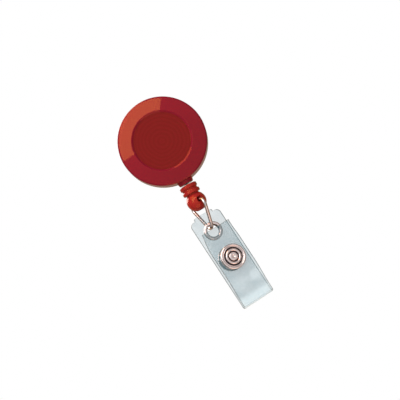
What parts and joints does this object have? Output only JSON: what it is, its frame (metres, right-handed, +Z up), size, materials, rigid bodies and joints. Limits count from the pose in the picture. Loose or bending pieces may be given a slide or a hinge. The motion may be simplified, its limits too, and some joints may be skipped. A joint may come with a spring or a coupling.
{
  "type": "retractable badge reel",
  "caption": "Round translucent retractable badge reel with a belt clip, spring-wound cord, ridged bead, wire link and clear snap strap.",
  "frame": {"origin": "on the case's axis, in the middle of the belt slot between the clip's plate and tongue", "axes": "+Z up towards the clip's bend, -Y out of the case's front, +X to the right seen from the front"},
  "size_m": [0.032, 0.0179, 0.0822],
  "materials": {
    "case_plastic": "glossy translucent red",
    "bead_plastic": "glossy translucent orange-red",
    "spool_plastic": "satin moulded",
    "cord_nylon": "fine braided cord",
    "spring_steel": "bright rolled strip",
    "rivet_metal": "bright",
    "blued_spring": "blued strip",
    "link_nickel": "nickel-plated wire",
    "snap_nickel": "nickel-plated brass",
    "clear_vinyl": "clear flexible vinyl"
  },
  "bodies": {
    "case": {"front_cover": "case_plastic", "rear_cover": "case_plastic", "belt_clip": "spring_steel", "clip_rivet": "rivet_metal", "mainspring": "blued_spring"},
    "spool": {"spool": "spool_plastic", "cord_winding": "cord_nylon", "cord_anchor_knot": "cord_nylon"},
    "cord_tip": {"pull_cord": "cord_nylon", "cord_end_knot": "cord_nylon"},
    "bead": {"cord_bead": "bead_plastic"},
    "link": {"wire_link": "link_nickel"},
    "strap_back": {"strap_back_leaf": "clear_vinyl", "strap_fold": "clear_vinyl", "eyelet": "snap_nickel", "eyelet_washer": "snap_nickel", "snap_cap": "snap_nickel", "snap_socket": "snap_nickel"},
    "strap_front": {"strap_front_leaf": "clear_vinyl", "snap_stud": "snap_nickel", "snap_ring": "snap_nickel"}
  },
  "joints": [
    {"name": "cord_pull", "type": "slide", "parent": "case", "child": "cord_tip", "axis": [0, 0, -1], "range_m": [0, 0.86], "stiffness_N_per_m": 0.35, "springref_m": -0.8, "deforming": ["pull_cord"]},
    {"name": "spool_spin", "type": "hinge", "parent": "case", "child": "spool", "pos_m": [0, -0.00825, 0], "axis": [0, 1, 0], "range_deg": [0, 4900], "deforming": ["mainspring"]},
    {"name": "bead_swivel", "type": "hinge", "parent": "cord_tip", "child": "bead", "pos_m": [0, -0.00825, -0.022], "axis": [0, 0, 1], "continuous": true},
    {"name": "link_swing", "type": "hinge", "parent": "bead", "child": "link", "pos_m": [0, -0.00825, -0.0244], "axis": [0.4384, -0.8988, 0], "range_deg": [-90, 90]},
    {"name": "strap_swing", "type": "hinge", "parent": "link", "child": "strap_back", "pos_m": [-0.00013, -0.00798, -0.0353], "axis": [0.309, -0.9511, 0], "range_deg": [-40, 40]},
    {"name": "strap_open", "type": "hinge", "parent": "strap_back", "child": "strap_front", "pos_m": [0.00191, -0.0081, -0.06477], "axis": [0.9491, 0.3084, 0.0645], "range_deg": [0, 150], "deforming": ["strap_fold"]}
  ],
  "couplings": [
    {"joint": "spool_spin", "follows": "cord_pull", "rad_per_m": 98}
  ]
}
